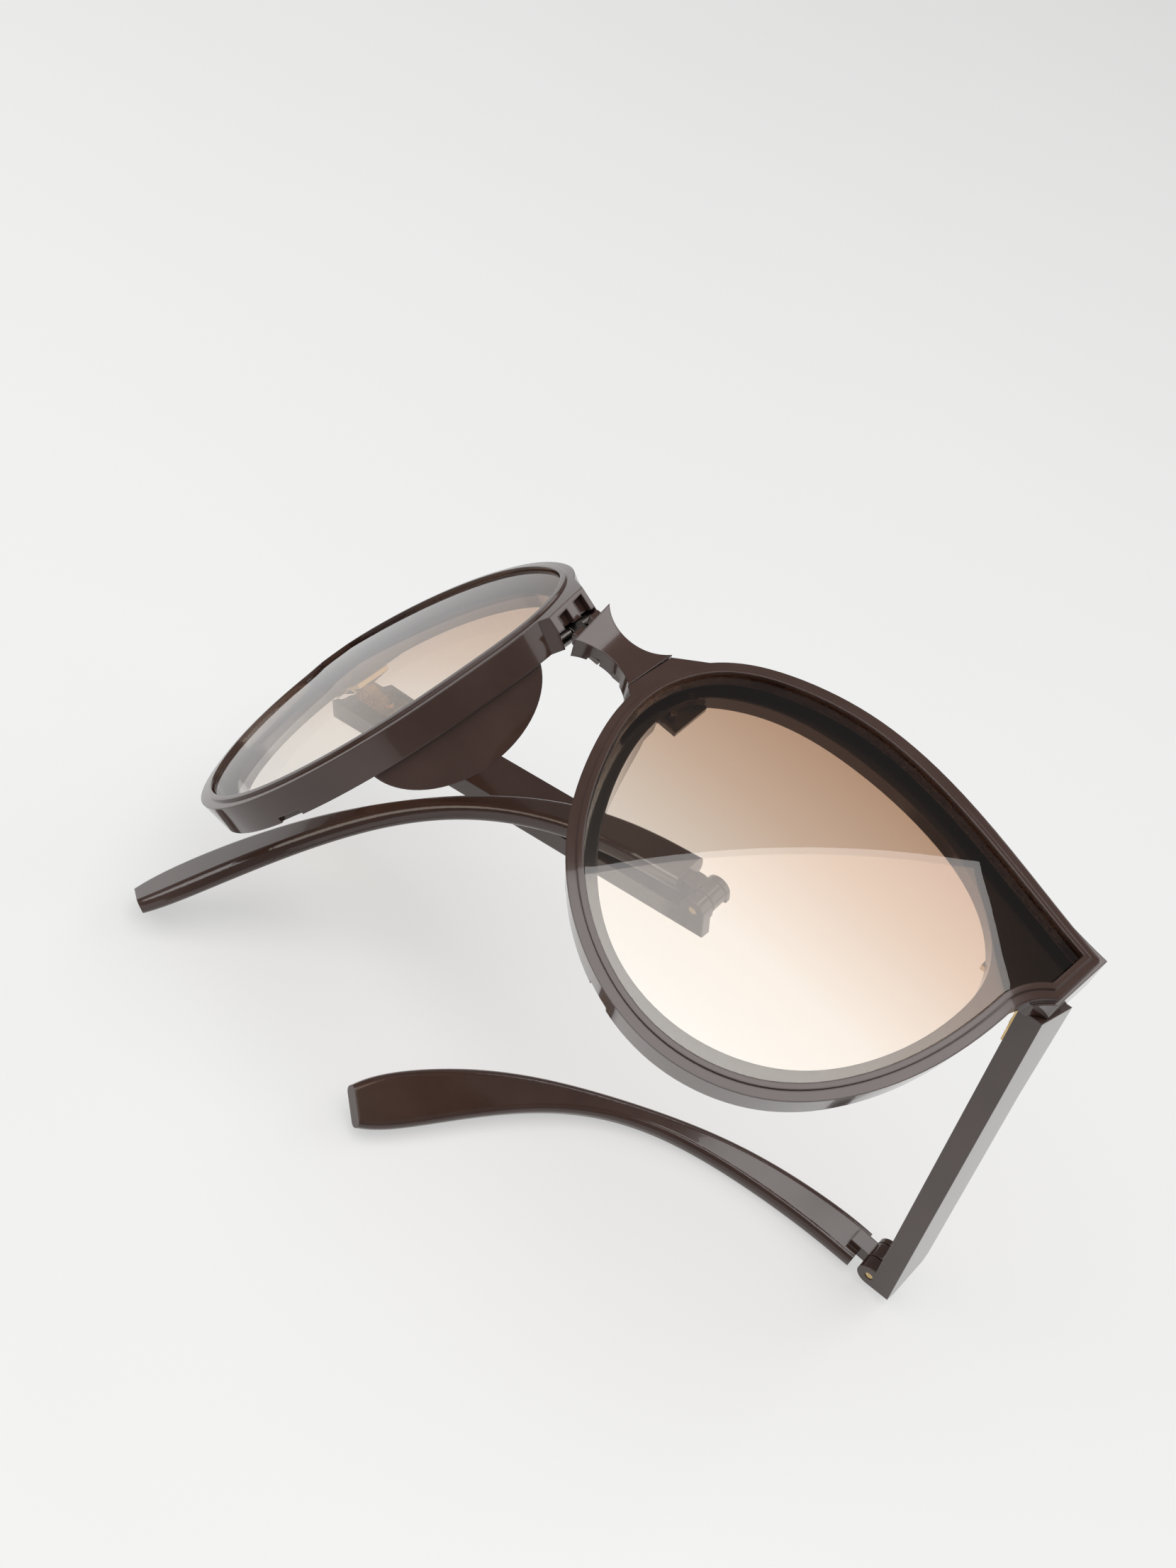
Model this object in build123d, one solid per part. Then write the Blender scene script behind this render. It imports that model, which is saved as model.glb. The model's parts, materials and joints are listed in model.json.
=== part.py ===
"""Folding sunglasses: two rims joined by a separate hinged bridge, each temple folding at the
endpiece and again in its middle.  All sizes are millimetres.

Every piece is drawn in the worn frame of the front: X towards the wearer's left, Y up along the
front, Z forward, origin midway between the lenses.  The pieces are then folded about their hinge
pins and the whole pair is stood on its three lowest points, +Z up.
"""
import os
from math import cos, pi, radians, sin

from build123d import *

# ---- driving dimensions -------------------------------------------------------------------
LENS_CENTRE_X = 36.1        # middle of a lens from the middle of the bridge
FACE_RADIUS = 190.0         # sphere that the front faces and the lenses follow
RIM_WIDTH = 2.2             # lens edge to the rim's outer wall
RIM_DEPTH = 4.5             # front face to back face of a rim
RIM_BACK_WIDTH = 0.8        # the rim's outer wall tapers to this at its deepest
LENS_THICKNESS = 1.8
LENS_INSET = 0.25           # lens face below the rim's face
LENS_GAP = 0.2              # all round the lens edge
BEAD_WIDTH = 0.75           # raised bead round the lens
BEAD_HEIGHT = 0.3
PANTOSCOPIC = 6.8           # the front leans forward over the temples by this angle

BRIDGE_HALF_TOP = 5.1      # half width of the bridge at its top edge
BRIDGE_HALF_LOW = 4.4
BRIDGE_TOP = 14.6
BRIDGE_LOW = 7.8
BRIDGE_FRONT_Z = -2.7
BRIDGE_BACK_Z = -6.4
SEAM_GAP = 0.15
BRIDGE_PIN_X = 6.9          # bridge hinge pins from the middle
BRIDGE_PIN_Z = -6.9
BRIDGE_PIN_Y = 11.2

TEMPLE_PIN_X = LENS_CENTRE_X + 26.0
TEMPLE_PIN_Y = 14.3
TEMPLE_PIN_Z = -6.9
BAR_LENGTH = 67.5
BAR_HEIGHT_FRONT = 8.2
BAR_HEIGHT = 7.0
BAR_INNER = 0.9             # inner face of the bar from the hinge pin
BAR_THICK = 3.1
BAR_LEAN = 5.8              # the outer face leans out towards its top
OPEN_SPLAY = 7.0            # an open temple stands out by this angle

FOLD_PIN_Y = BAR_LENGTH - 1.9
FOLD_PIN_X = BAR_INNER - 0.65
FOLD_KNUCKLE_R = 1.9
FOLD_KNUCKLE_HALF = 1.25
FOLD_GAP = 0.2

TIP_THICK = 2.6
TIP_LENGTH = 82.5           # along its curve, from the fold pin
TIP_DROP = 63.0             # total downward turn
TIP_WRAP_FROM = 14.0        # the tip bends in towards the head beyond here
TIP_WRAP = 0.0104
END_SLANT = 4.0             # the endpiece seam runs back by this much towards its top

PIN_RADIUS = 0.6            # middle fold pins
SCREW_RADIUS = 0.42         # hinge screws
RUNNING = 0.04              # radial clearance of a pin or screw in its hole

# fold angles of the rest pose, measured from fully open
RIGHT_RIM_FOLD = 53.9
LEFT_TIP_FOLD = 96.5
RIGHT_TEMPLE_FOLD = 59.0
RIGHT_TIP_FOLD = 179.5

PIN_DIRECTION = Vector(0, cos(radians(PANTOSCOPIC)), -sin(radians(PANTOSCOPIC)))
TONGUES = (9.6, 13.0)
BAR_LOW = -4.3              # underside of the bar from the middle of the hinge pin
FOLD_MID = BAR_LOW + BAR_HEIGHT / 2
HEADING = -18.2              # turn of the standing pair about the vertical
TIP_SECTIONS = [(3.2, 3.0, 2.6), (8.0, 3.0, 2.7), (20.0, 2.6, 2.8), (34.0, 1.8, 2.7),
                (45.0, 1.7, 2.7), (56.0, 2.5, 2.7), (68.0, 3.5, 2.7), (77.0, 3.7, 2.6),
                (TIP_LENGTH, 2.8, 2.2)]  # distance along, half height, thickness


# ---- outlines of the left front, from the middle of its lens --------------------------------
def lens_edges():
    """Edge of the lens: one smooth sweep, then a notch and a short side up to the corner."""
    corner, side_low, notch_end = (28.5, 18.9), (27.9, 12.9), (24.7, 7.2)
    sweep = Spline(corner, (16.0, 21.2), (3.8, 23.6), (-7.4, 24.2), (-16.8, 22.2), (-24.6, 17.6),
                   (-28.5, 8.8), (-26.6, -2.0), (-20.0, -13.8), (-9.3, -22.0), (0.6, -24.3),
                   (12.2, -20.6), (19.7, -11.6), (23.2, -2.2), notch_end)
    return sweep, ThreePointArc(notch_end, (25.8, 10.2), side_low), Line(side_low, corner)


def outward(edge, t):
    ahead = edge % t
    return Vector(ahead.Y, -ahead.X)


def moved(edge, t, grow):
    return (edge @ t) + outward(edge, t) * grow


def mitre(before, after, grow):
    """Corner of two neighbouring edges once both have moved outwards."""
    n1, n2 = outward(before, 1), outward(after, 0)
    return (before @ 1) + (n1 + n2) * (grow / (1 + n1.dot(n2)))


def outline_face(grow=0.0):
    """The lens outline, moved outwards all round."""
    sweep, notch, side = lens_edges()
    if grow:
        corner, notch_end = mitre(side, sweep, grow), mitre(sweep, notch, grow)
        side_low = mitre(notch, side, grow)
        between = [moved(sweep, k / 36, grow) for k in range(1, 36)]
        middle = moved(notch, 0.5, grow)
        sweep = Spline(corner, *between, notch_end)
        notch = ThreePointArc(notch_end, middle, side_low)
        side = Line(side_low, corner)
    return make_face(Wire(Curve() + [sweep, notch, side]))


def eye_face():
    points = [(-24.0, 15.0), (-15.6, 19.6), (-5.3, 20.9), (6.0, 20.0), (16.0, 16.4), (21.6, 9.9),
              (22.2, 2.0), (19.4, -8.0), (13.2, -16.6), (3.0, -21.4), (-8.0, -20.4),
              (-17.6, -13.6), (-24.4, -2.0), (-26.4, 7.4)]
    return make_face(Wire(Spline(*points, periodic=True)))


# ---- helpers --------------------------------------------------------------------------------
def prism(face, back=-16.0, front=6.0):
    """The face of an outline as a tall prism standing across the front."""
    return extrude(Pos(0, 0, back) * face, amount=front - back, dir=(0, 0, 1))


def shell(front, back):
    """Space between two depths below the curved face."""
    outer = Pos(0, 0, -FACE_RADIUS) * Rot(90, 0, 0) * Sphere(FACE_RADIUS - front)
    inner = Pos(0, 0, -FACE_RADIUS) * Rot(90, 0, 0) * Sphere(FACE_RADIUS - back)
    window = Box(90, 80, 60, align=(Align.CENTER, Align.CENTER, Align.CENTER))
    return (outer & window) - inner


def hinge_plane(x, y, z):
    """Local frame on a hinge pin: X outwards, Y backwards, Z up along the pin."""
    return Plane(origin=(x, y, z), x_dir=(1, 0, 0), z_dir=PIN_DIRECTION)


BRIDGE_HINGE = hinge_plane(BRIDGE_PIN_X, BRIDGE_PIN_Y, BRIDGE_PIN_Z)
TEMPLE_HINGE = hinge_plane(TEMPLE_PIN_X, TEMPLE_PIN_Y, TEMPLE_PIN_Z)


def on_bridge_hinge(shape):
    return BRIDGE_HINGE.location * shape


def on_temple_hinge(shape):
    """Place a piece drawn in the temple's frame at the open position."""
    return TEMPLE_HINGE.location * Rot(0, 0, -OPEN_SPLAY) * shape


def block(x0, x1, y0, y1, z0, z1):
    size = (x1 - x0, y1 - y0, z1 - z0)
    return Pos((x0 + x1) / 2, (y0 + y1) / 2, (z0 + z1) / 2) * Box(*size)


def pin(radius, z0, z1, x=0.0, y=0.0):
    return Pos(x, y, (z0 + z1) / 2) * Cylinder(radius, z1 - z0)


# ---- front ----------------------------------------------------------------------------------
def bridge_side(y, grow=0.0):
    """Half width of the bridge at a height."""
    share = (y - BRIDGE_LOW) / (BRIDGE_TOP - BRIDGE_LOW)
    return BRIDGE_HALF_LOW + share * (BRIDGE_HALF_TOP - BRIDGE_HALF_LOW) + grow


def rim_lug():
    """Flat-ended shoulder that reaches from the round rim to the bridge."""
    low, high = BRIDGE_LOW - 0.4, BRIDGE_TOP + 0.2
    corners = [(bridge_side(low, SEAM_GAP), low), (bridge_side(high, SEAM_GAP), high),
               (LENS_CENTRE_X - 23.0, high + 5.6), (LENS_CENTRE_X - 27.5, low - 3.0)]
    lug = prism(make_face(Polyline(*corners, close=True)))
    return Pos(-LENS_CENTRE_X, 0, 0) * lug


def left_rim():
    wall = loft([Pos(0, 0, 0.5) * outline_face(RIM_WIDTH + 0.1), Pos(0, 0, -9.5) * outline_face(RIM_BACK_WIDTH)])
    body = wall + rim_lug()
    rim = body & shell(0, RIM_DEPTH)
    bead = prism(outline_face(BEAD_WIDTH) - outline_face()) & shell(-BEAD_HEIGHT, 1.0)
    endpiece = prism(outline_face(RIM_WIDTH), -9.5) & block(23.4, 34, 9.6, 22, -9.5, -3.5)
    pad = nose_pad()
    rim = rim + bead + endpiece + pad
    rim = rim - (prism(outline_face(), -12) & shell(-3, LENS_INSET + LENS_THICKNESS + 0.2))
    rim = rim - prism(eye_face())
    rim = Pos(LENS_CENTRE_X, 0, 0) * rim
    rim = rim - on_temple_hinge(endpiece_clearance())
    rim = rim - on_bridge_hinge(block(-3, 5.7, -1.25, 6, -4.0, 3.4))
    rim = rim - on_temple_hinge(block(-5.8, 1.0, -0.95, 2, -3.9, 3.3))
    rim = rim - on_bridge_hinge(leaf_holes(3.4, -2.6, 1, (-1.8, 1.8)))
    rim = rim - on_temple_hinge(leaf_holes(-3.7, -2.1, 1, (-1.7, 1.7)))
    return rim - bridge_sockets() - rear_notch()


def endpiece_clearance():
    """Room for the bar: square behind the hinge, slanted beside the endpiece's outer wall."""
    low, high = BAR_LOW, BAR_LOW + BAR_HEIGHT_FRONT
    behind = block(-5.6, BAR_INNER + 0.15, -0.06, 12, -12, 12)
    side = [(-0.06, low - 8), (-0.06, low), (END_SLANT - 0.06, high), (END_SLANT - 0.06, 12),
            (14, 12), (14, low - 8)]
    slanted = extrude(Plane.YZ * make_face(Polyline(*side, close=True)), amount=14, dir=(1, 0, 0))
    return behind + Pos(BAR_INNER, 0, 0) * slanted


def nose_pad():
    """Fin behind the nasal side, set in from the rim's wall and rounded behind."""
    wall = prism(outline_face(0.6) - outline_face(-2.4))
    bulge = Pos(-25.0, -7.0, -5.0) * scale(Sphere(1.0), (13.0, 12.5, 8.2))
    return wall & bulge & block(-40, 0, -30, 30, -20, -3.0)


def bridge_sockets():
    """Two square pockets in the end of the rim that the bridge's tongues fill when open."""
    pockets = Part()
    for y in TONGUES:
        x = bridge_side(y)
        pockets += block(x - 0.5, x + 1.3, y - 1.0, y + 1.0, -6.6, -3.6)
    return pockets


def rear_notch():
    """Small moulding notch in the back edge of the rim, low on the nasal side."""
    at = Pos(LENS_CENTRE_X - 8.0, -25.0, -7.0)
    return at * Rot(0, 0, -20) * Box(3.6, 3.0, 3.2)


def left_lens():
    lens = prism(outline_face(-LENS_GAP)) & shell(LENS_INSET, LENS_INSET + LENS_THICKNESS)
    return Pos(LENS_CENTRE_X, 0, 0) * lens


def bridge():
    """Saddle between the rims, waisted in front and arched below, with two small ears on top."""
    ear = BRIDGE_TOP + 0.4
    side_top = bridge_side(ear)
    side_low = bridge_side(BRIDGE_LOW)
    top = Spline((side_top, ear), (3.2, BRIDGE_TOP - 0.9), (0, BRIDGE_TOP - 1.5),
                 (-3.2, BRIDGE_TOP - 0.9), (-side_top, ear))
    low = ThreePointArc((side_low, BRIDGE_LOW), (0, BRIDGE_LOW + 1.6), (-side_low, BRIDGE_LOW))
    right = Line((side_top, ear), (side_low, BRIDGE_LOW))
    left = Line((-side_top, ear), (-side_low, BRIDGE_LOW))
    body = extrude(Pos(0, 0, BRIDGE_BACK_Z) * make_face(Wire(Curve() + [top, left, low, right])),
                   amount=BRIDGE_FRONT_Z - BRIDGE_BACK_Z, dir=(0, 0, 1))
    waist = Pos(0, 10, BRIDGE_FRONT_Z + 17.1) * Rot(90, 0, 0) * Cylinder(18.0, 40)
    body = body - waist
    for side in (1, -1):
        for y in TONGUES:
            x = side * bridge_side(y)
            body += block(min(x, x + side * 0.9), max(x, x + side * 0.9), y - 0.8, y + 0.8,
                          -5.1, -3.8)
        body -= hinge_recess(side)
    return body


def hinge_recess(side):
    """Where a hinge leaf is let into the back of the bridge."""
    recess = on_bridge_hinge(block(-5.85, 2, -1.25, 4, -2.4, 2.4)
                             + leaf_holes(-3.6, -2.4, 1, (-1.2, 1.2)))
    return recess if side > 0 else recess.mirror(Plane.YZ)


# ---- hinges ---------------------------------------------------------------------------------
def knuckle(z0, z1, radius):
    return pin(radius, z0, z1) - pin(SCREW_RADIUS + RUNNING, z0 - 1, z1 + 1)


def hinge_screw(half_length):
    """Screw through the barrels, slotted head at the lower end."""
    head = pin(0.85, -half_length - 0.55, -half_length - 0.05)
    slot = block(-1, 1, -0.13, 0.13, -half_length - 0.8, -half_length - 0.35)
    return pin(SCREW_RADIUS, -half_length - 0.05, half_length) + head - slot


def leaf_holes(x, y0, y1, zs):
    holes = Part()
    for z in zs:
        holes += Pos(x, (y0 + y1) / 2, z) * Rot(90, 0, 0) * Cylinder(0.5, y1 - y0 + 1)
    return holes


def rim_bridge_leaf():
    """Leaf on the back of the rim, with the two outer knuckles."""
    leaf = block(0.4, 5.2, -1.2, -0.5, -3.1, 3.1) - pin(1.2, -1.1, 1.1)
    for z0, z1 in ((-3.1, -1.1), (1.1, 3.1)):
        leaf += block(-0.2, 1.2, -1.1, -0.2, z0, z1)
        leaf += pin(1.1, z0, z1)
    leaf -= pin(SCREW_RADIUS + RUNNING, -5, 5)
    return on_bridge_hinge(leaf - leaf_holes(3.4, -1.2, -0.5, (-1.8, 1.8)))


def bridge_leaf():
    """Leaf on the back of the bridge, with the middle knuckle."""
    leaf = block(-5.7, -1.5, -1.2, -0.5, -2.2, 2.2)
    leaf += block(-1.6, 0.2, -1.15, -0.3, -1.0, 1.0)
    leaf += pin(1.1, -1.0, 1.0)
    leaf -= pin(SCREW_RADIUS + RUNNING, -5, 5)
    return on_bridge_hinge(leaf - leaf_holes(-3.6, -1.2, -0.5, (-1.2, 1.2)))


def rivets(x, y0, y1, zs, radius=0.46, head=0.75):
    """Rivets that run forward through a leaf into the plastic, domed at the back."""
    group = Part()
    for z in zs:
        group += Pos(x, (y0 + y1) / 2, z) * Rot(90, 0, 0) * Cylinder(radius, y1 - y0)
        group += Pos(x, y1 + 0.15, z) * Rot(90, 0, 0) * Cylinder(head, 0.3)
    return group


def front_temple_leaf():
    leaf = block(-5.4, -1.3, -0.85, -0.1, -3.0, 3.0)
    for z0, z1 in ((-3.0, -1.1), (1.1, 3.0)):
        leaf += block(-1.6, 0.1, -0.85, -0.1, z0, z1)
        leaf += pin(0.85, z0, z1)
    leaf -= pin(SCREW_RADIUS + RUNNING, -5, 5)
    return on_temple_hinge(leaf - leaf_holes(-3.7, -0.9, 0, (-1.7, 1.7)))


def rear_temple_leaf():
    inner = BAR_INNER
    leaf = block(inner - 0.6, inner, 2.2, 9.0, -2.2, 2.2)
    leaf += block(inner - 0.6, inner, 0.1, 2.4, -1.0, 1.0)
    leaf += pin(0.85, -1.0, 1.0)
    leaf -= pin(SCREW_RADIUS + RUNNING, -5, 5)
    holes = Part()
    for y in (4.0, 7.2):
        holes += Pos(inner, y, 0) * Rot(0, 90, 0) * Cylinder(0.5, 4)
    return on_temple_hinge(leaf - holes)


def bar_rivets():
    group = Part()
    for y in (4.0, 7.2):
        group += Pos(BAR_INNER + 0.3, y, 0) * Rot(0, 90, 0) * Cylinder(0.46, 1.8)
        group += Pos(BAR_INNER - 0.75, y, 0) * Rot(0, 90, 0) * Cylinder(0.75, 0.3)
    return on_temple_hinge(group)


# ---- temple ---------------------------------------------------------------------------------


def temple_bar():
    """Straight front half of the temple, with two ears for the middle fold."""
    high_front, high = BAR_LOW + BAR_HEIGHT_FRONT, BAR_LOW + BAR_HEIGHT
    side = [(0.02, BAR_LOW), (BAR_LENGTH, BAR_LOW), (BAR_LENGTH, BAR_LOW + 1.6),
            (BAR_LENGTH - 3.2, high - 0.5), (BAR_LENGTH - 5.0, high), (22.0, high),
            (END_SLANT + 0.02, high_front)]
    face = Plane.YZ * make_face(Polyline(*side, close=True))
    outer = BAR_INNER + BAR_THICK
    bar = extrude(face, amount=outer + 1.0, dir=(1, 0, 0))
    bar &= block(BAR_INNER, outer + 2, -1, BAR_LENGTH + 1, -10, 10)
    lean = Pos(outer, 0, BAR_LOW) * Rot(0, BAR_LEAN, 0) * block(0, 6, -5, 90, -6, 16)
    bar -= lean
    ear = pin(FOLD_KNUCKLE_R, BAR_LOW, high - 1.2, FOLD_PIN_X, FOLD_PIN_Y)
    ear += block(FOLD_PIN_X, BAR_INNER + 0.5, FOLD_PIN_Y - 1.9, FOLD_PIN_Y + 1.9, BAR_LOW, high - 1.2)
    bar += ear
    half = FOLD_KNUCKLE_HALF + FOLD_GAP
    slot = pin(FOLD_KNUCKLE_R + 0.3, FOLD_MID - half, FOLD_MID + half, FOLD_PIN_X, FOLD_PIN_Y)
    slot += block(FOLD_PIN_X - 3, BAR_INNER + 1.3, FOLD_PIN_Y, BAR_LENGTH + 2,
                  FOLD_MID - half, FOLD_MID + half)
    bar -= slot
    bar -= pin(PIN_RADIUS + RUNNING, BAR_LOW - 1, high + 1, FOLD_PIN_X, FOLD_PIN_Y)
    bar -= block(-3, BAR_INNER + 0.001, -1, 9.3, -2.4, 2.4)
    for y in (4.0, 7.2):
        bar -= Pos(BAR_INNER, y, 0) * Rot(0, 90, 0) * Cylinder(0.5, 2.6)
    bar -= block(-2, 1.15, -1, 1.15, -3.4, 3.4)
    return on_temple_hinge(bar)


def tip_heading(s):
    """Downward turn of the tip at a distance along it, slow at first and straight at the end."""
    share = s / TIP_LENGTH
    return -radians(TIP_DROP) * sin(pi / 2 * share ** 1.4)


def tip_station(s):
    """Place on the middle line at a distance from the fold pin: back, up, inwards and its slope."""
    steps = 40
    y = z = 0.0
    for i in range(steps):
        heading = tip_heading((i + 0.5) / steps * s)
        y += cos(heading) * s / steps
        z += sin(heading) * s / steps
    beyond = max(0.0, y - TIP_WRAP_FROM)
    return y, z, TIP_WRAP * beyond ** 2 / 2, TIP_WRAP * beyond


def temple_tip():
    """Curved rear half: drops behind the ear and bends in towards the head."""
    sections = []
    middle_x = BAR_INNER - FOLD_PIN_X + TIP_THICK / 2
    for s, half, thick in TIP_SECTIONS:
        y, z, wrap, slope = tip_station(s)
        heading = tip_heading(s)
        ahead = Vector(-slope * cos(heading), cos(heading), sin(heading))
        plane = Plane(origin=(middle_x - wrap, y, z), x_dir=(1, slope, 0), z_dir=ahead)
        corner = min(half, thick / 2) * 0.8
        sections.append(plane * RectangleRounded(thick, 2 * half, corner))
    tip = loft(sections)
    neck = block(-0.6, 1.6, 0.4, 5.0, -FOLD_KNUCKLE_HALF, FOLD_KNUCKLE_HALF)
    tip += pin(FOLD_KNUCKLE_R, -FOLD_KNUCKLE_HALF, FOLD_KNUCKLE_HALF) + neck
    half = FOLD_KNUCKLE_HALF
    ears = pin(FOLD_KNUCKLE_R + 0.3, half, 8) + pin(FOLD_KNUCKLE_R + 0.3, -8, -half)
    tip -= ears
    tip -= pin(PIN_RADIUS + RUNNING, -8, 8)
    tip -= wire_path(0.75)
    return tip


def wire_path(radius):
    """Straight stiffening wire inside the front of the tip."""
    x = BAR_INNER - FOLD_PIN_X + TIP_THICK / 2
    y, z, wrap, slope = tip_station(13.0)
    return Pos(x - 0.1, y, z) * Rot(90 - 5.0, 0, 0) * Cylinder(radius, 14.0)


def place_tip(shape):
    return on_temple_hinge(Pos(FOLD_PIN_X, FOLD_PIN_Y, FOLD_MID) * shape)


def fold_pin():
    high = BAR_LOW + BAR_HEIGHT - 1.2
    return on_temple_hinge(pin(PIN_RADIUS, BAR_LOW + 0.1, high - 0.1, FOLD_PIN_X, FOLD_PIN_Y))


# ---- pieces of one side, open -----------------------------------------------------------------
def left_pieces():
    return {
        "front": {"rim": left_rim(), "lens": left_lens(), "bridge_hinge_rim_leaf": rim_bridge_leaf(),
                  "bridge_hinge_rim_rivets": on_bridge_hinge(rivets(3.4, -2.4, -0.5, (-1.8, 1.8))),
                  "temple_hinge_front_leaf": front_temple_leaf(),
                  "temple_hinge_screw": on_temple_hinge(hinge_screw(3.05)),
                  "temple_hinge_front_rivets": on_temple_hinge(rivets(-3.7, -1.9, -0.1, (-1.7, 1.7)))},
        "bridge": {"bridge_hinge_bridge_leaf": bridge_leaf(),
                   "bridge_hinge_bridge_rivets": on_bridge_hinge(rivets(-3.6, -2.2, -0.5, (-1.2, 1.2))),
                   "bridge_hinge_screw": on_bridge_hinge(hinge_screw(3.15))},
        "temple": {"temple_bar": temple_bar(), "temple_hinge_rear_leaf": rear_temple_leaf(),
                   "temple_hinge_rear_rivets": bar_rivets(), "fold_pin": fold_pin()},
        "tip": {"temple_tip": place_tip(temple_tip()), "tip_core_wire": place_tip(wire_path(0.7))},
    }


def pin_axis(x, y, z, side):
    return Axis((side * x, y, z), PIN_DIRECTION)


def fold_axes(side):
    """The three hinge axes of one side, open."""
    fold = on_temple_hinge(Pos(FOLD_PIN_X, FOLD_PIN_Y, FOLD_MID) * Vertex(0, 0, 0)).center()
    return {
        "bridge": pin_axis(BRIDGE_PIN_X, BRIDGE_PIN_Y, BRIDGE_PIN_Z, side),
        "temple": pin_axis(TEMPLE_PIN_X, TEMPLE_PIN_Y, TEMPLE_PIN_Z, side),
        "tip": pin_axis(fold.X, fold.Y, fold.Z, side),
    }


def fold_turns(side, rim, temple, tip):
    """Turns that carry each body of a side from open to folded, the outermost joint first."""
    axes = fold_axes(side)
    bridge_turn = (axes["bridge"], side * rim)
    temple_turn = (axes["temple"], side * temple)
    tip_turn = (axes["tip"], side * tip)
    return {"front": [bridge_turn], "bridge": [], "temple": [temple_turn, bridge_turn],
            "tip": [tip_turn, temple_turn, bridge_turn]}


def turned(shape, turns):
    for axis, angle in turns:
        shape = shape.rotate(axis, angle) if angle else shape
    return shape


def assembled():
    """All pieces folded to the rest pose, by body and then node name."""
    bodies = {"bridge": {"bridge": bridge()}}
    left = left_pieces()
    sides = {"left": (1, 0.0, 0.0, LEFT_TIP_FOLD),
             "right": (-1, RIGHT_RIM_FOLD, RIGHT_TEMPLE_FOLD, RIGHT_TIP_FOLD)}
    for name, (side, rim, temple, tip) in sides.items():
        turns = fold_turns(side, rim, temple, tip)
        for body, pieces in left.items():
            group = bodies.setdefault("bridge" if body == "bridge" else name + "_" + body, {})
            for piece, shape in pieces.items():
                shape = shape if side > 0 else shape.mirror(Plane.YZ)
                group[name + "_" + piece] = turned(shape, turns[body])
    return bodies


# ---- standing -------------------------------------------------------------------------------
def lowest_point(shape, up):
    points, _ = shape.tessellate(0.05)
    return min(points, key=lambda p: p.dot(up))


def standing_plane(bodies):
    """Surface under the three lowest feet: the left fold and the ends of both tips."""
    feet = [bodies["left_temple"]["left_temple_bar"], bodies["left_tip"]["left_temple_tip"],
            bodies["right_tip"]["right_temple_tip"]]
    up = Vector(-0.1, -0.13, 0.98).normalized()
    for _ in range(8):
        a, b, c = [lowest_point(foot, up) for foot in feet]
        normal = (b - a).cross(c - a).normalized()
        up = normal if normal.dot(up) > 0 else -normal
    return Plane(origin=a, x_dir=(Vector(1, 0, 0) - up * up.X), z_dir=up)


def stand(bodies):
    """Stand the pair on z = 0 with the middle of its box over the origin."""
    plane = standing_plane(bodies)
    to_world = Rot(0, 0, HEADING) * plane.location.inverse()
    boxes = [(to_world * s).bounding_box() for g in bodies.values() for s in g.values()]
    low = [min(getattr(b.min, k) for b in boxes) for k in "XYZ"]
    high = [max(getattr(b.max, k) for b in boxes) for k in "XYZ"]
    return Pos(-(low[0] + high[0]) / 2, -(low[1] + high[1]) / 2, -low[2]) * to_world


def main():
    os.makedirs("parts", exist_ok=True)
    bodies = assembled()
    to_world = stand(bodies)
    for group in bodies.values():
        for node, shape in group.items():
            export_step(to_world * shape, "parts/" + node + ".step")
    sides = {"left": (1, 0.0, 0.0), "right": (-1, RIGHT_RIM_FOLD, RIGHT_TEMPLE_FOLD)}
    for name, (side, rim, temple) in sides.items():
        turns = fold_turns(side, rim, temple, 0.0)
        outer = {"bridge": [], "temple": turns["front"], "tip": turns["temple"]}
        for joint, axis in fold_axes(side).items():
            ends = [turned(Vertex(*(axis.position + axis.direction * k)), outer[joint]) for k in (0, 1)]
            a, b = [(to_world * e).center() for e in ends]
            print(name, joint, "axis", [round(v, 4) for v in a], [round(v, 5) for v in (b - a)])


main()
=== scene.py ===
import json
from math import radians

import bpy
from mathutils import Matrix, Vector

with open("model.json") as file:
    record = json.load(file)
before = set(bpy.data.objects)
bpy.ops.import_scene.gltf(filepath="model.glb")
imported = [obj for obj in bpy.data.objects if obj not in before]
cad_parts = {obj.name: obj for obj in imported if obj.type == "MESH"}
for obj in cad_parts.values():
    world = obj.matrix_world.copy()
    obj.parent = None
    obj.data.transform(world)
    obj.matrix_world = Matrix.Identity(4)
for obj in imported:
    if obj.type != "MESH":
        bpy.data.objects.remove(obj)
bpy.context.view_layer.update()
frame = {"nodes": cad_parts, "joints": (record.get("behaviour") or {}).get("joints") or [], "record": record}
nodes = frame["nodes"]

# ---- the left front's own axes at rest, in the row frame (metres) ---------------------------
LENS_MIDDLE = Vector((0.01282, -0.01566, 0.06924))
FRONT_X = Vector((0.949847, -0.312294, 0.016208))    # towards the wearer's left
FRONT_Y = Vector((0.289417, 0.897533, 0.332674))     # up along the front
FRONT_Z = Vector((-0.118439, -0.311299, 0.942903))   # out of the face of the lens

LENS_SPACING = 0.0722        # between the middles of the lenses when open
LENS_HALF_HEIGHT = 0.0245
FACE_RADIUS = 0.190          # of the sphere that the face of each rim lies on
LEDGE_TOP = 0.18815          # distances from the middle of that sphere
LEDGE_BOTTOM = 0.18775
RIGHT_RIM_FOLD = 53.9        # degrees that the right rim is folded back at rest

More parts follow.
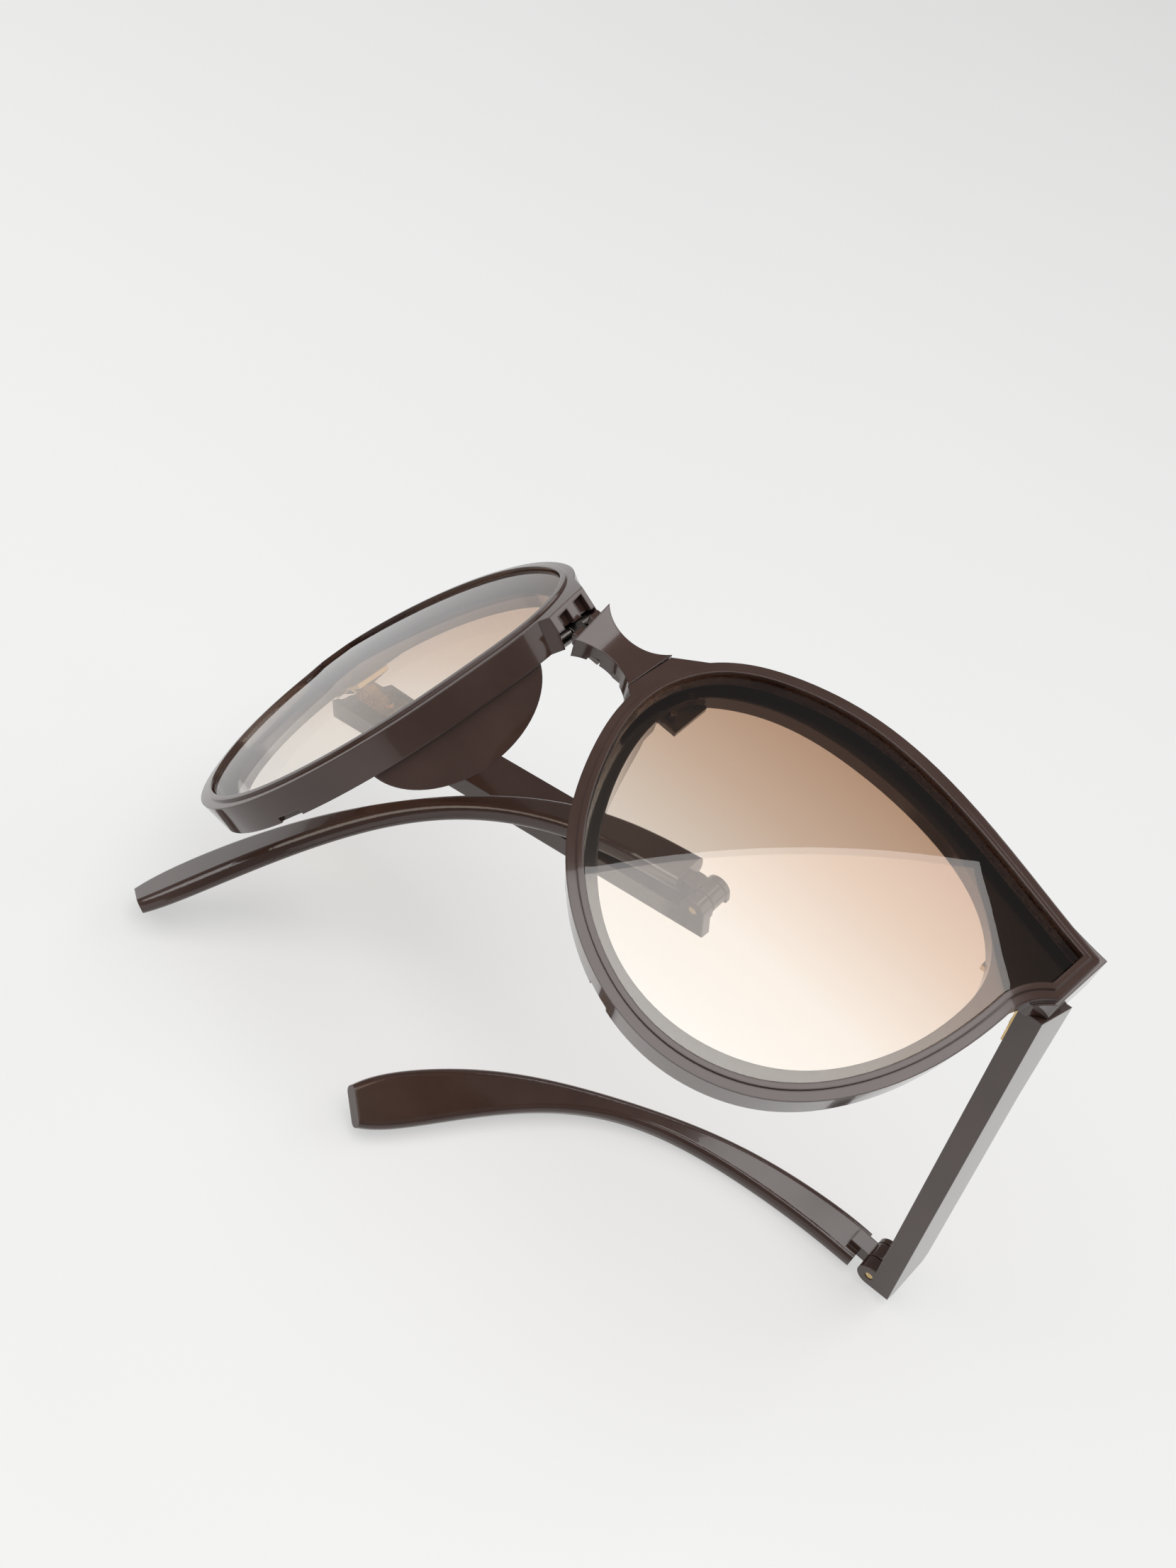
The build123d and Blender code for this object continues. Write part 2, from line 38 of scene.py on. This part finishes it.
# ---- finishes -------------------------------------------------------------------------------
BROWN = ((0.040, 0.021, 0.016), (0.052, 0.029, 0.023))
# painted shade: near-black colour for the recessed ledge behind each lens, standing in for its shade
LEDGE_PAINTED_SHADE = ((0.005, 0.005, 0.006), (0.009, 0.008, 0.008))
PLASTIC_ROUGHNESS = 0.12
PLASTIC_EDGE = 0.0003
METAL_EDGE = 0.00012
TINT = [(0.0, (0.985, 0.965, 0.93)), (0.3, (0.94, 0.89, 0.835)),
        (0.6, (0.83, 0.71, 0.615)), (1.0, (0.69, 0.52, 0.405))]   # from bottom to top
LENS_MIRROR = (0.05, 0.72)   # share of mirror reflection, straight on and at a grazing angle
LENS_MIRROR_POWER = 3.6

# ---- floor and light ------------------------------------------------------------------------
FLOOR_HALF = 3.0
FLOOR_PAPER = ((0.295, 0.295, 0.293), (0.305, 0.305, 0.303))
FLOOR_GLOW = ((0.50, 0.50, 0.498), (0.51, 0.51, 0.508))
SOFTBOX_CORNER = Vector((0.140, 0.306, 0.70))
SOFTBOX_ALONG = Vector((0.417, 0.234, 0))            # direction of its straight edge
SOFTBOX_HALF_LENGTH = 0.75
SOFTBOX_DEPTH = 0.62
SOFTBOX_POWER = 9.5
WORLD_STRENGTH = 0.22

# ---- camera ---------------------------------------------------------------------------------
CAMERA_RIGHT = Vector((0.87015, 0.31277, 0.3808))
CAMERA_UP = Vector((-0.49278, 0.55058, 0.67381))
CAMERA_BACK = Vector((0.00109, -0.77397, 0.63322))
CAMERA_PLACE = Vector((-0.01283, -0.18234, 0.20303))
CAMERA_LENS = 58.6
CAMERA_SENSOR = 36.0


class Graph:
    """A material's node tree with short calls to add and join nodes."""

    def __init__(self, name):
        self.material = bpy.data.materials.new(name)
        self.material.use_nodes = True
        self.tree = self.material.node_tree
        self.tree.nodes.clear()
        self.output = self.add("ShaderNodeOutputMaterial")

    def add(self, kind, **values):
        node = self.tree.nodes.new(kind)
        for key, value in values.items():
            setattr(node, key, value)
        return node

    def join(self, out, into):
        self.tree.links.new(out, into)

    def vector_math(self, operation, second=None):
        node = self.add("ShaderNodeVectorMath", operation=operation)
        if second is not None:
            node.inputs[1].default_value = second
        return node

    def noise(self, scale, detail=4.0, roughness=0.55, stretch=(1, 1, 1)):
        where = self.add("ShaderNodeTexCoord")
        mapping = self.add("ShaderNodeMapping")
        mapping.inputs["Scale"].default_value = stretch
        noise = self.add("ShaderNodeTexNoise")
        noise.inputs["Scale"].default_value = scale
        noise.inputs["Detail"].default_value = detail
        noise.inputs["Roughness"].default_value = roughness
        self.join(where.outputs["Object"], mapping.inputs["Vector"])
        self.join(mapping.outputs["Vector"], noise.inputs["Vector"])
        return noise.outputs["Fac"]

    def ramp(self, value, stops):
        ramp = self.add("ShaderNodeValToRGB")
        points = ramp.color_ramp.elements
        while len(points) < len(stops):
            points.new(0.5)
        for point, (place, colour) in zip(points, stops):
            point.position = place
            point.color = (*colour, 1.0)
        self.join(value, ramp.inputs["Fac"])
        return ramp.outputs["Color"]

    def mottle(self, scale, colours, low=0.3, high=0.7):
        """A faint noise between two close colours."""
        return self.ramp(self.noise(scale), [(low, colours[0]), (high, colours[1])])

    def from_range(self, value, low, high):
        """0 to 1 as the value goes from low to high."""
        scale = self.add("ShaderNodeMapRange")
        scale.inputs["From Min"].default_value = low
        scale.inputs["From Max"].default_value = high
        self.join(value, scale.inputs["Value"])
        return scale.outputs["Result"]

    def to_range(self, value, low, high):
        """Low to high as the value goes from 0 to 1."""
        scale = self.add("ShaderNodeMapRange")
        scale.inputs["To Min"].default_value = low
        scale.inputs["To Max"].default_value = high
        self.join(value, scale.inputs["Value"])
        return scale.outputs["Result"]

    def along(self, middle, direction, low, high):
        """0 to 1 along a direction of the row frame at rest, carried with the piece."""
        where = self.add("ShaderNodeTexCoord")
        shifted = self.vector_math("SUBTRACT", middle)
        dot = self.vector_math("DOT_PRODUCT", direction)
        self.join(where.outputs["Object"], shifted.inputs[0])
        self.join(shifted.outputs["Vector"], dot.inputs[0])
        return self.from_range(dot.outputs["Value"], low, high)

    def ledge(self, centre):
        """Mask for painted shade: 1 on forward-facing surfaces that lie below a rim's curved face, 0
        elsewhere.
        """
        where = self.add("ShaderNodeTexCoord")
        arm = self.vector_math("SUBTRACT", centre)
        length = self.vector_math("LENGTH")
        outward = self.vector_math("NORMALIZE")
        dot = self.vector_math("DOT_PRODUCT")
        self.join(where.outputs["Object"], arm.inputs[0])
        self.join(arm.outputs["Vector"], length.inputs[0])
        self.join(arm.outputs["Vector"], outward.inputs[0])
        self.join(outward.outputs["Vector"], dot.inputs[0])
        self.join(where.outputs["Normal"], dot.inputs[1])
        forward = self.from_range(dot.outputs["Value"], 0.90, 0.96)
        below = self.from_range(length.outputs["Value"], LEDGE_TOP, LEDGE_BOTTOM)
        both = self.add("ShaderNodeMath", operation="MULTIPLY")
        self.join(forward, both.inputs[0])
        self.join(below, both.inputs[1])
        return both.outputs["Value"]

    def rounded(self, radius):
        bevel = self.add("ShaderNodeBevel", samples=6)
        bevel.inputs["Radius"].default_value = radius
        return bevel.outputs["Normal"]

    def finish(self, shader, socket="BSDF"):
        self.join(shader.outputs[socket], self.output.inputs["Surface"])
        return self.material


def plastic(name, face_centre=None):
    """Polished brown plastic. Given the centre of a rim's face, the recessed ledge behind its lens gets
    painted shade, a near-black colour.
    """
    g = Graph(name)
    shader = g.add("ShaderNodeBsdfPrincipled")
    colour = g.mottle(90.0, BROWN, 0.35, 0.65)
    if face_centre is not None:
        # painted shade: the recessed ledge behind the lens is mixed to near-black
        mix = g.add("ShaderNodeMix", data_type="RGBA")
        g.join(g.ledge(face_centre), mix.inputs["Factor"])
        g.join(colour, mix.inputs["A"])
        g.join(g.mottle(60.0, LEDGE_PAINTED_SHADE), mix.inputs["B"])
        colour = mix.outputs["Result"]
    g.join(colour, shader.inputs["Base Color"])
    g.join(g.to_range(g.noise(260.0, 6.0), PLASTIC_ROUGHNESS * 0.75, PLASTIC_ROUGHNESS * 1.3),
           shader.inputs["Roughness"])
    shader.inputs["IOR"].default_value = 1.42
    shader.inputs["Coat Weight"].default_value = 0.45
    shader.inputs["Coat Roughness"].default_value = 0.03
    shader.inputs["Coat IOR"].default_value = 1.5
    bump = g.add("ShaderNodeBump")
    bump.inputs["Strength"].default_value = 0.02
    bump.inputs["Distance"].default_value = 0.0001
    g.join(g.noise(420.0, 3.0), bump.inputs["Height"])
    g.join(g.rounded(PLASTIC_EDGE), bump.inputs["Normal"])
    g.join(bump.outputs["Normal"], shader.inputs["Normal"])
    return g.finish(shader)


def metal(name, dark, light, rough):
    g = Graph(name)
    shader = g.add("ShaderNodeBsdfPrincipled")
    g.join(g.mottle(500.0, (dark, light)), shader.inputs["Base Color"])
    g.join(g.to_range(g.noise(1500.0, 4.0, 0.6, (1, 1, 12)), rough * 0.7, rough * 1.4),
           shader.inputs["Roughness"])
    shader.inputs["Metallic"].default_value = 1.0
    g.join(g.rounded(METAL_EDGE), shader.inputs["Normal"])
    return g.finish(shader)


def lens_material(name, middle, up):
    """Tinted clear plastic, brown at the top fading to almost clear at the bottom."""
    g = Graph(name)
    height = g.along(middle, up, -LENS_HALF_HEIGHT, LENS_HALF_HEIGHT)
    through = g.add("ShaderNodeBsdfTransparent")
    g.join(g.ramp(height, TINT), through.inputs["Color"])
    gloss = g.add("ShaderNodeBsdfGlossy")
    gloss.inputs["Roughness"].default_value = 0.012
    g.join(g.mottle(12.0, ((0.97, 0.97, 0.98), (1.0, 0.99, 0.98))), gloss.inputs["Color"])
    facing = g.add("ShaderNodeLayerWeight")
    facing.inputs["Blend"].default_value = 0.5
    steep = g.add("ShaderNodeMath", operation="POWER")
    steep.inputs[1].default_value = LENS_MIRROR_POWER
    g.join(facing.outputs["Facing"], steep.inputs[0])
    mix = g.add("ShaderNodeMixShader")
    g.join(g.to_range(steep.outputs["Value"], *LENS_MIRROR), mix.inputs["Fac"])
    g.join(through.outputs["BSDF"], mix.inputs[1])
    g.join(gloss.outputs["BSDF"], mix.inputs[2])
    return g.finish(mix, "Shader")


# ---- a finish for every node ----------------------------------------------------------------
finishes = {
    "frame_plastic": plastic("brown_plastic"),
    "brass": metal("brass", (0.52, 0.36, 0.15), (0.72, 0.54, 0.27), 0.24),
    "steel": metal("steel", (0.42, 0.41, 0.41), (0.62, 0.61, 0.60), 0.25),
    "dark_steel": metal("dark_steel", (0.10, 0.09, 0.085), (0.20, 0.18, 0.17), 0.22),
}
slot_of = {part["node"]: part["material_slot"] for part in frame["record"]["subparts"]}

right_hinge = next(j for j in frame["joints"] if j["name"] == "right_bridge_hinge")
hinge_pin = Vector(right_hinge["pos_m"])
fold = Matrix.Rotation(radians(RIGHT_RIM_FOLD), 3, Vector(right_hinge["axis"]))
right_middle = hinge_pin + fold @ (LENS_MIDDLE - LENS_SPACING * FRONT_X - hinge_pin)

lenses = {"left_lens": (LENS_MIDDLE, FRONT_Y), "right_lens": (right_middle, fold @ FRONT_Y)}
rims = {"left_rim": LENS_MIDDLE - FACE_RADIUS * FRONT_Z,
        "right_rim": right_middle - FACE_RADIUS * (fold @ FRONT_Z)}

for name, ob in nodes.items():
    if name in lenses:
        material = lens_material(name + "_tint", *lenses[name])
    # the rims get the plastic with painted shade on the ledge behind each lens
    elif name in rims:
        material = plastic(name + "_plastic", rims[name])
    else:
        material = finishes[slot_of[name]]
    ob.data.materials.clear()
    ob.data.materials.append(material)


def link(name, data):
    ob = bpy.data.objects.new(name, data)
    bpy.context.scene.collection.objects.link(ob)
    return ob


def oriented(right, up, back, place):
    matrix = Matrix((right, up, back)).transposed().to_4x4()
    matrix.translation = place
    return matrix


def floor():
    """Pale paper with a faint glow of its own, which keeps the shadows soft."""
    mesh = bpy.data.meshes.new("floor")
    corners = [(-1, -1), (1, -1), (1, 1), (-1, 1)]
    mesh.from_pydata([(x * FLOOR_HALF, y * FLOOR_HALF, 0) for x, y in corners], [], [(0, 1, 2, 3)])
    ob = link("floor", mesh)
    g = Graph("pale_paper")
    shader = g.add("ShaderNodeBsdfPrincipled")
    g.join(g.mottle(3.0, FLOOR_PAPER), shader.inputs["Base Color"])
    g.join(g.mottle(3.0, FLOOR_GLOW), shader.inputs["Emission Color"])
    shader.inputs["Emission Strength"].default_value = 1.0
    shader.inputs["Roughness"].default_value = 0.8
    shader.inputs["Specular IOR Level"].default_value = 0.1
    mesh.materials.append(g.finish(shader))


def area(name, place, target, size, power):
    data = bpy.data.lights.new(name, "AREA")
    data.shape = "RECTANGLE"
    data.size, data.size_y = size
    data.energy = power
    ob = link(name, data)
    ob.location = place
    ob.rotation_euler = (Vector(target) - Vector(place)).to_track_quat("-Z", "Y").to_euler()
    return ob


def softbox():
    """Overhead panel whose straight edge is mirrored across the middle of the left lens."""
    along = SOFTBOX_ALONG.normalized()
    across = Vector((along.y, -along.x, 0))
    up = Vector((0, 0, 1))
    middle = SOFTBOX_CORNER - along * SOFTBOX_HALF_LENGTH + across * SOFTBOX_DEPTH / 2
    size = (2 * SOFTBOX_HALF_LENGTH, SOFTBOX_DEPTH)
    box = area("overhead", middle, middle - up, size, SOFTBOX_POWER)
    box.matrix_world = oriented(along, -across, up, middle)


def surroundings():
    world = bpy.data.worlds.new("studio")
    bpy.context.scene.world = world
    world.use_nodes = True
    background = world.node_tree.nodes["Background"]
    background.inputs["Color"].default_value = (1.0, 1.0, 1.0, 1.0)
    background.inputs["Strength"].default_value = WORLD_STRENGTH


def photo_camera():
    data = bpy.data.cameras.new("photo")
    data.sensor_fit = "HORIZONTAL"
    data.sensor_width = CAMERA_SENSOR
    data.lens = CAMERA_LENS
    data.clip_start = 0.01
    ob = link("photo", data)
    ob.matrix_world = oriented(CAMERA_RIGHT, CAMERA_UP, CAMERA_BACK, CAMERA_PLACE)
    bpy.context.scene.camera = ob


floor()
softbox()
area("side", (0.55, 0.15, 0.35), (0.03, 0, 0.04), (0.3, 0.5), 0.55)
area("fill", (0.75, 0.95, 0.90), (0.40, 0.45, 0.0), (0.8, 0.8), 5.0)
surroundings()
photo_camera()
bpy.context.scene.view_settings.view_transform = "Standard"
